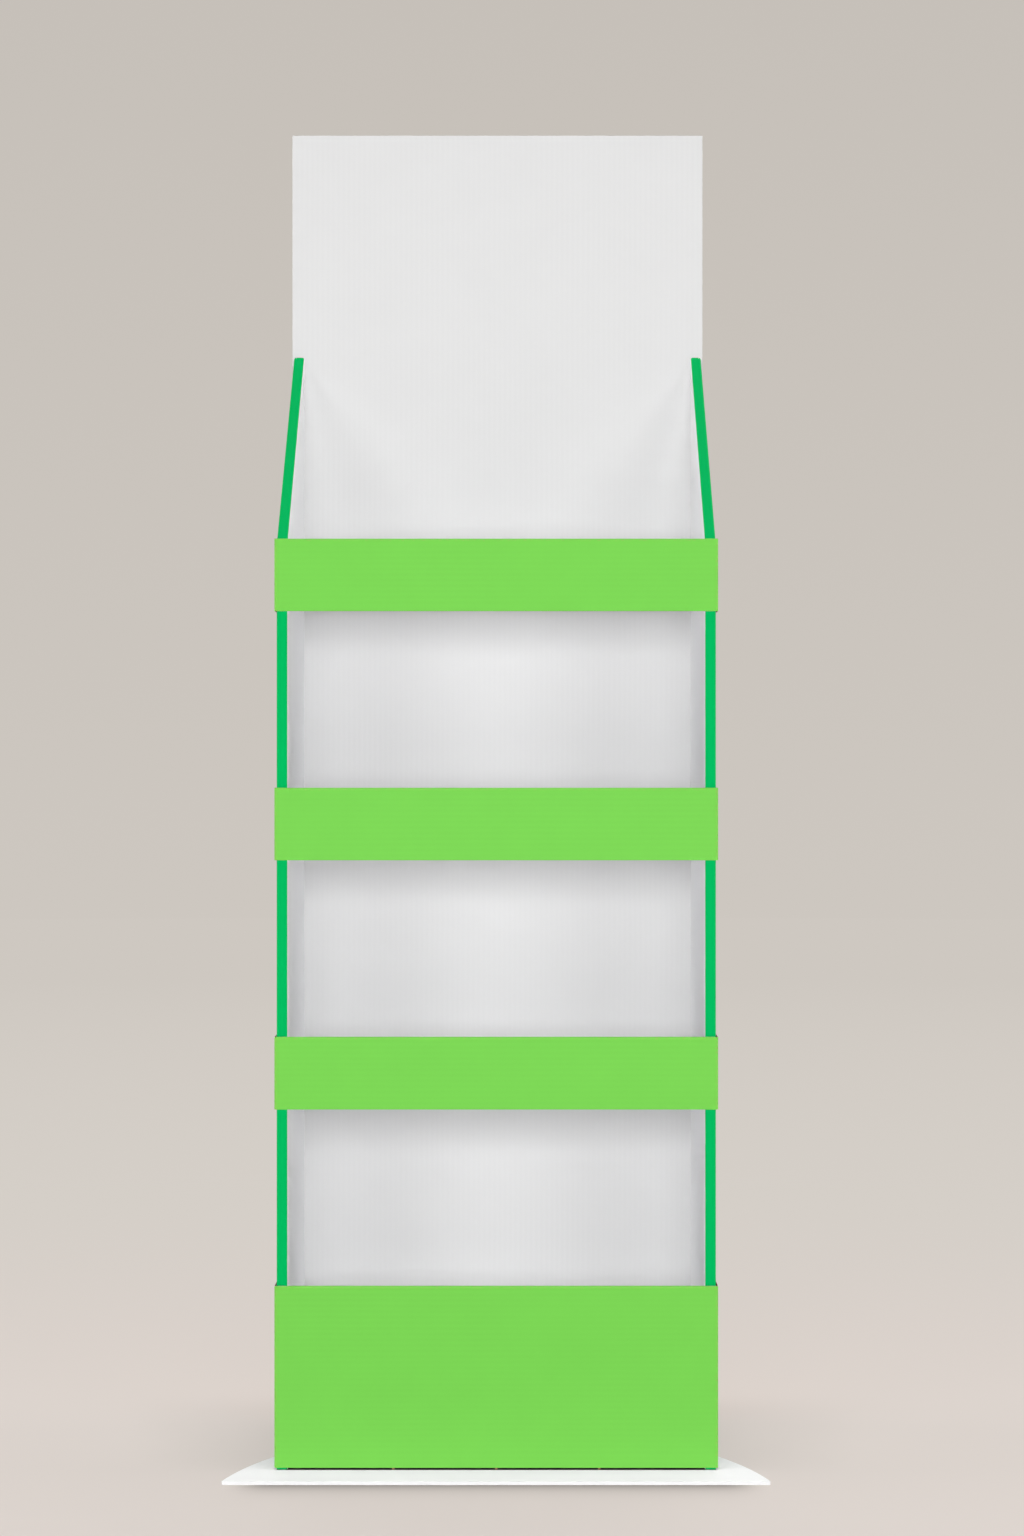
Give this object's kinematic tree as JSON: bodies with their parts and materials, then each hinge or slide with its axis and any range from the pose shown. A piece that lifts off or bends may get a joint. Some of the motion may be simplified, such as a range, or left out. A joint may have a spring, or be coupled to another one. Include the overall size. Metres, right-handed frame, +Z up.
{
  "type": "cardboard display stand",
  "caption": "Tall free-standing cardboard shop display stand with lipped shelf trays, sloping side walls, a plain header and a flared base plate.",
  "frame": {"origin": "on the floor, under the middle of the stand's outline", "axes": "+Z up, -Y towards the open front of the shelves, +X to the right as seen from the front"},
  "size_m": [0.6144, 0.4244, 1.58],
  "materials": {
    "white_board": "matt white liner over corrugated board",
    "dark_green_board": "satin green print on corrugated board, white inside",
    "light_green_board": "satin light green print on corrugated board, white inside",
    "foot_board": "matt bright white solid board",
    "kraft_board": "unprinted brown board",
    "steel_tube": "bright zinc-plated tube"
  },
  "bodies": {
    "root": {"base_plate": "foot_board", "back_board": "white_board", "left_side_wall": "dark_green_board", "right_side_wall": "dark_green_board", "base_tray": "light_green_board", "lower_shelf": "light_green_board", "middle_shelf": "light_green_board", "top_shelf": "light_green_board", "lower_shelf_front_bar": "steel_tube", "lower_shelf_middle_bar": "steel_tube", "middle_shelf_front_bar": "steel_tube", "middle_shelf_middle_bar": "steel_tube", "top_shelf_front_bar": "steel_tube", "top_shelf_middle_bar": "steel_tube", "cross_divider_1": "kraft_board", "cross_divider_2": "kraft_board", "depth_divider_1": "kraft_board", "depth_divider_2": "kraft_board", "depth_divider_3": "kraft_board"}
  },
  "joints": []
}
